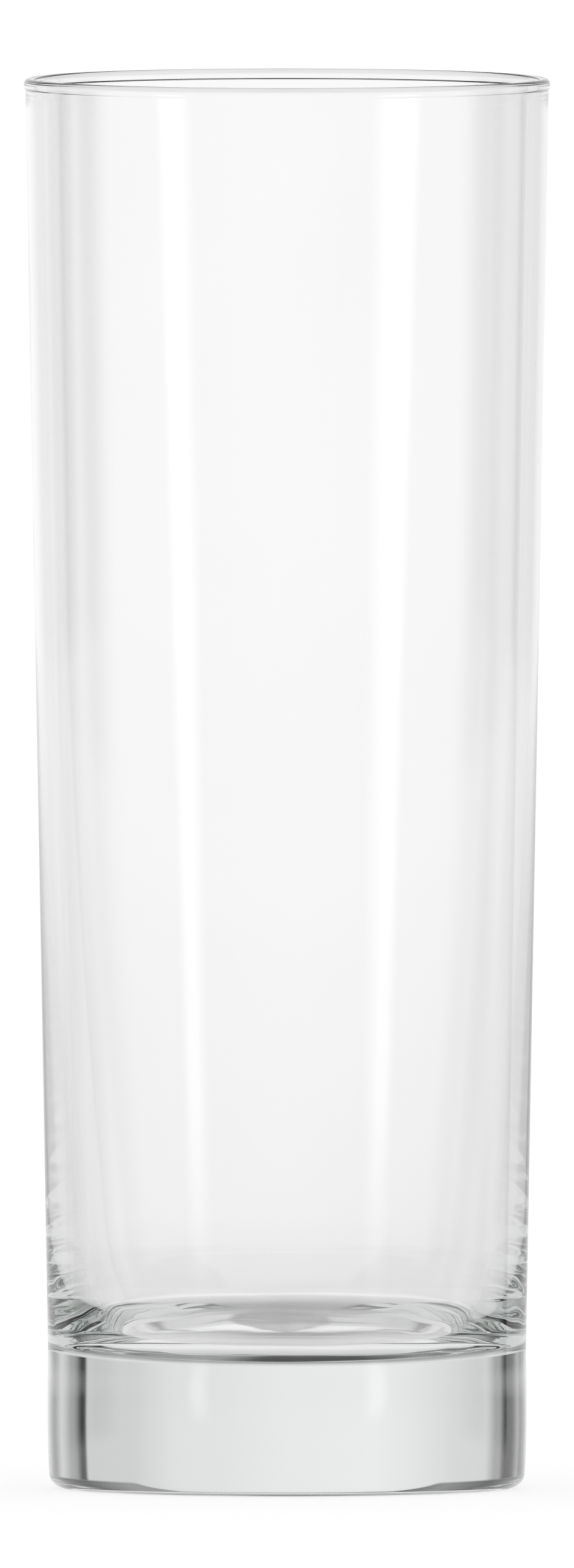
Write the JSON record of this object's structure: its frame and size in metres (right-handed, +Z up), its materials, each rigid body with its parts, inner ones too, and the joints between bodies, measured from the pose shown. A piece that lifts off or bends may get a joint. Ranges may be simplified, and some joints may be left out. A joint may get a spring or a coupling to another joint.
{
  "type": "highball glass",
  "caption": "Slim, tall highball glass of clear glass, with a straight flared wall that thickens to a heavy solid base, a floor that curls up at its edge and a beaded rim.",
  "frame": {"origin": "centre of the standing ring, on the surface that the glass stands on", "axes": "+Z up along the axis that the glass is turned about; X and Y are free, because the glass is round"},
  "size_m": [0.0621, 0.0622, 0.1665],
  "materials": {
    "clear_glass": "fire-polished, clear and colourless"
  },
  "bodies": {
    "root": {"tumbler": "clear_glass"}
  },
  "joints": []
}
